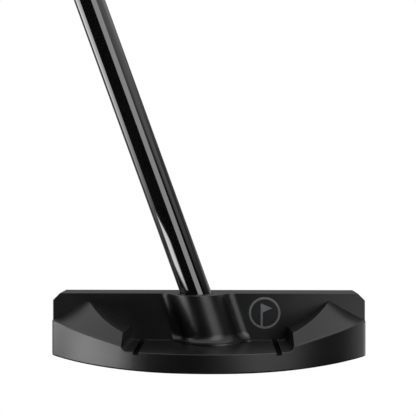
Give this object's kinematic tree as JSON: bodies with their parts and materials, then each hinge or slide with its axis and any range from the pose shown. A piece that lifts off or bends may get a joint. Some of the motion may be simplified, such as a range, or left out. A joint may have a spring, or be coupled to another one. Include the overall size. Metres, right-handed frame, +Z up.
{
  "type": "golf putter",
  "caption": "Right-handed golf putter with a half-moon centre-shafted head, bevelled wings, sunk alignment floor, leaning steel shaft and flat-front rubber grip.",
  "frame": {"origin": "middle of the sole, on the flat that meets the ground", "axes": "+X to the toe, +Y to the target, +Z up with the club soled at its lie angle"},
  "size_m": [0.3584, 0.0373, 0.8151],
  "materials": {
    "black_steel": "satin black, fine milled grain",
    "enamel": "grey paint fill",
    "weight_steel": "turned stainless steel",
    "epoxy": "cured epoxy",
    "black_shaft": "gloss black on steel tube",
    "plug": "cork",
    "tape": "double-sided paper tape",
    "grip_rubber": "matt textured rubber",
    "cap_rubber": "hard matt rubber"
  },
  "bodies": {
    "root": {"head_body": "black_steel", "emblem_enamel": "enamel", "sole_weight_heel": "weight_steel", "sole_weight_toe": "weight_steel", "hosel_adhesive": "epoxy", "shaft": "black_shaft", "tip_plug": "plug", "grip_tape": "tape", "grip": "grip_rubber", "grip_cap": "cap_rubber"}
  },
  "joints": []
}
